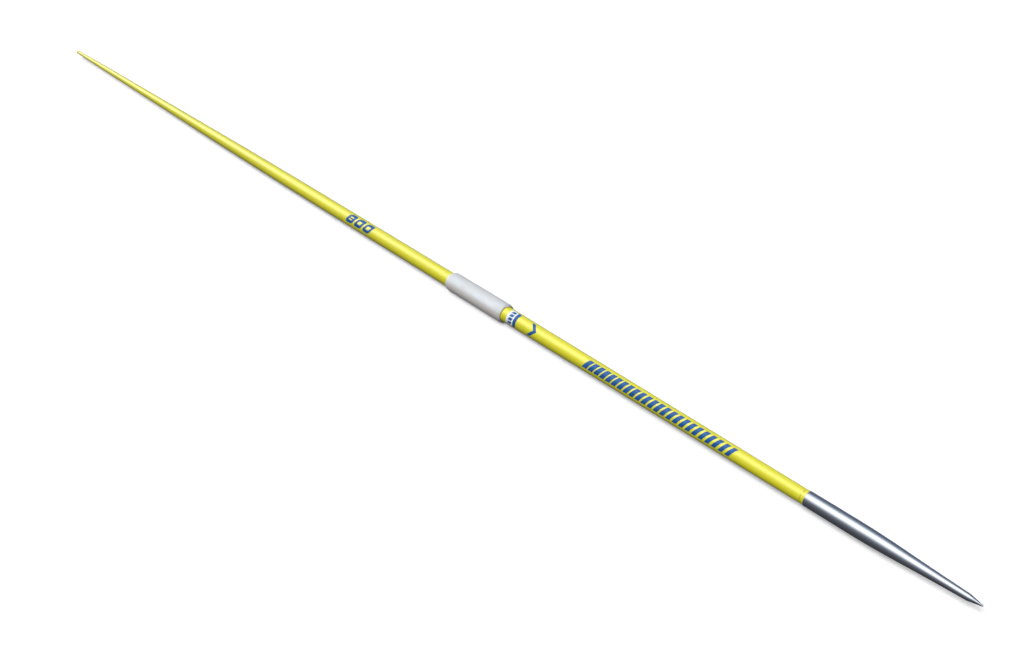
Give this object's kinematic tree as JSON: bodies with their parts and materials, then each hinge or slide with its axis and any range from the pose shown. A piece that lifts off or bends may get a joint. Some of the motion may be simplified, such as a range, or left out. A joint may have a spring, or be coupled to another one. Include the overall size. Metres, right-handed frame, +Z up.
{
  "type": "javelin",
  "caption": "Competition javelin: a lacquered metal shaft that tapers to both ends, with a polished steel head and a cord-wound grip at the balance point.",
  "frame": {"origin": "middle of the flat on the underside of the grip, below the middle of the grip, where the javelin balances and on which it lies", "axes": "+X along the shaft towards the tip, +Z up, +Y to the left when looking towards the tip"},
  "size_m": [2.645, 0.0358, 0.0355],
  "materials": {
    "head_steel": "polished",
    "slug_steel": "matte",
    "lacquered_tube": "gloss",
    "bare_aluminium": "satin",
    "tail_moulding": "satin",
    "felt": "matte",
    "cloth_tape": "matte",
    "grip_cord": "matte",
    "print_blue": "gloss",
    "band_foil": "gloss"
  },
  "bodies": {
    "root": {"head_point": "head_steel", "head_shell": "head_steel", "balance_slug": "slug_steel", "nose_plug": "bare_aluminium", "front_tube": "lacquered_tube", "centre_sleeve": "bare_aluminium", "rear_tube": "lacquered_tube", "tail_spigot": "bare_aluminium", "tail_tube": "lacquered_tube", "tail_plug": "tail_moulding", "front_damper": "felt", "rear_damper": "felt", "grip_underlay": "cloth_tape", "grip_cord": "grip_cord"}
  },
  "joints": []
}
